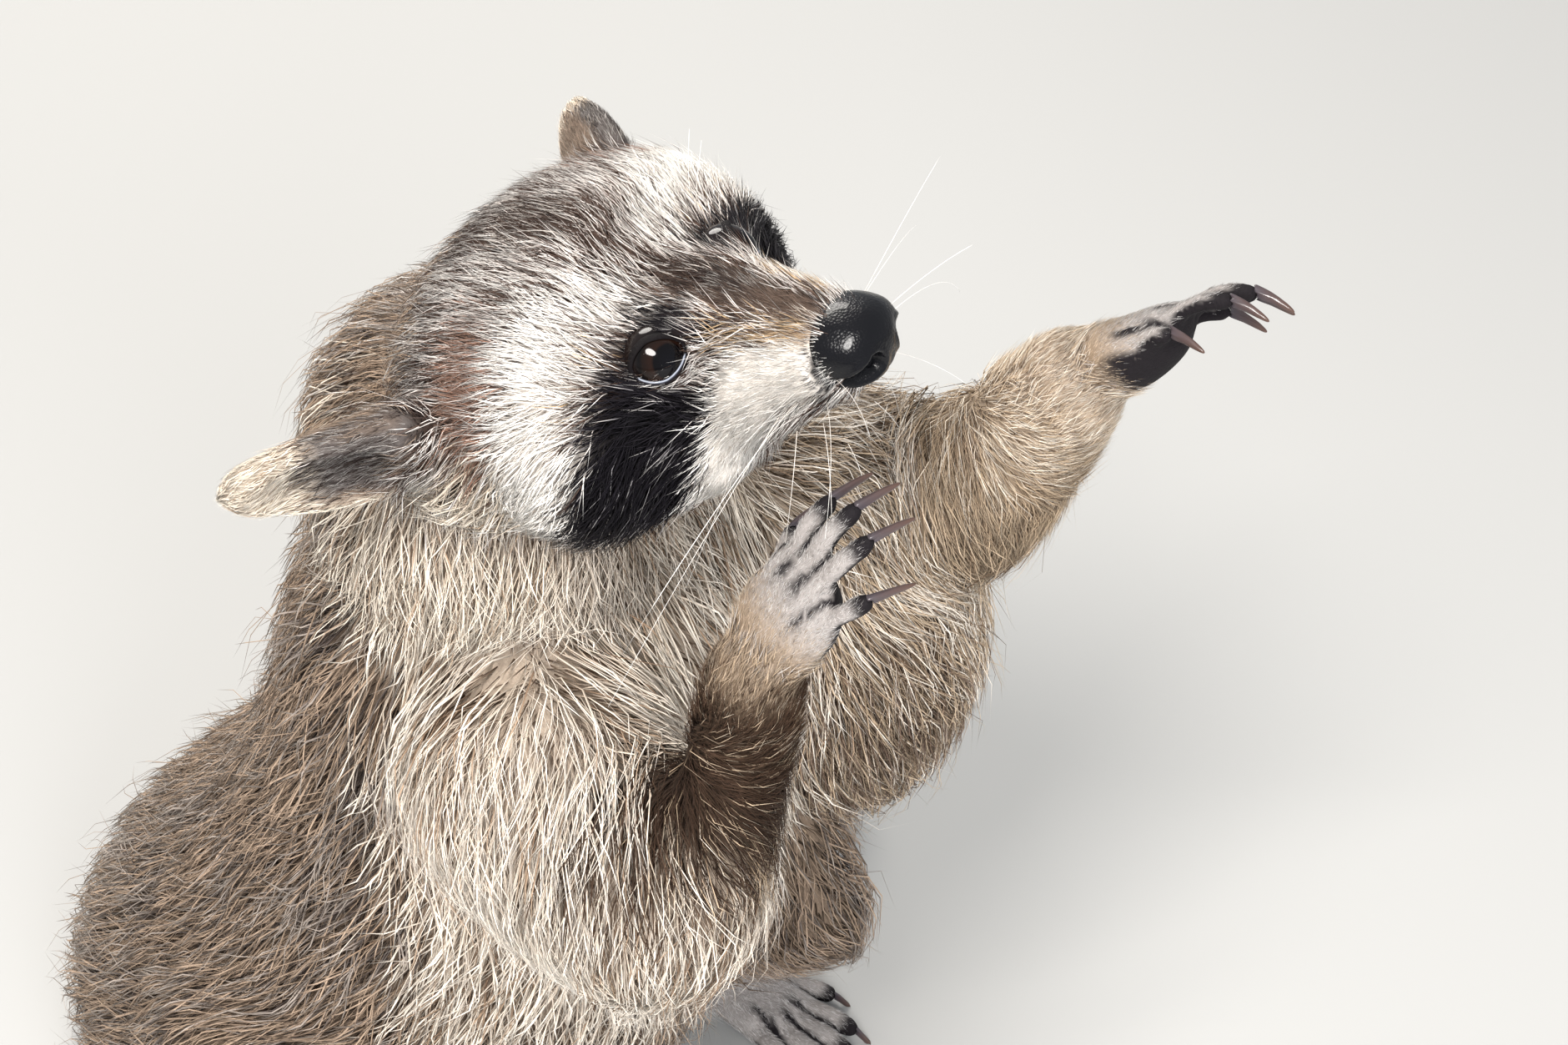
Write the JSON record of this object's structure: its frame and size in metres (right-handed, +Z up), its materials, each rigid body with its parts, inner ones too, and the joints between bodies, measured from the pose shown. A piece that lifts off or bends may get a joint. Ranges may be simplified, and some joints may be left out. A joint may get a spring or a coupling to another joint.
{
  "type": "raccoon",
  "caption": "Life-size still model of a raccoon sitting up on its haunches, head turned to its left, a forepaw held out and the ringed tail laid round its side.",
  "frame": {"origin": "middle of the footprint's bounding box, on the floor", "axes": "+Z up, the animal faces -Y, its left side is towards +X"},
  "size_m": [0.33, 0.4016, 0.4361],
  "materials": {
    "coat": "thick grizzled fur, black mask and tail rings, pale brow and muzzle",
    "nose": "moist black pebbled skin",
    "eye": "wet, dark brown iris round a black pupil",
    "claw": "smooth grey horn"
  },
  "bodies": {
    "root": {"eye_left": "eye", "eye_right": "eye", "nose": "nose", "head": "coat", "ear_left": "coat", "ear_right": "coat", "trunk": "coat", "neck": "coat", "upper_arm_left": "coat", "forearm_left": "coat", "upper_arm_right": "coat", "forearm_right": "coat", "thigh_left": "coat", "shank_left": "coat", "thigh_right": "coat", "shank_right": "coat", "hand_left": "coat", "claw_hand_left_1": "claw", "claw_hand_left_2": "claw", "claw_hand_left_3": "claw", "claw_hand_left_4": "claw", "claw_hand_left_5": "claw", "hand_right": "coat", "claw_hand_right_1": "claw", "claw_hand_right_2": "claw", "claw_hand_right_3": "claw", "claw_hand_right_4": "claw", "claw_hand_right_5": "claw", "foot_left": "coat", "claw_foot_left_1": "claw", "claw_foot_left_2": "claw", "claw_foot_left_3": "claw", "claw_foot_left_4": "claw", "claw_foot_left_5": "claw", "foot_right": "coat", "claw_foot_right_1": "claw", "claw_foot_right_2": "claw", "claw_foot_right_3": "claw", "claw_foot_right_4": "claw", "claw_foot_right_5": "claw", "tail_base": "coat", "tail_middle": "coat", "tail_tip": "coat"}
  },
  "joints": []
}
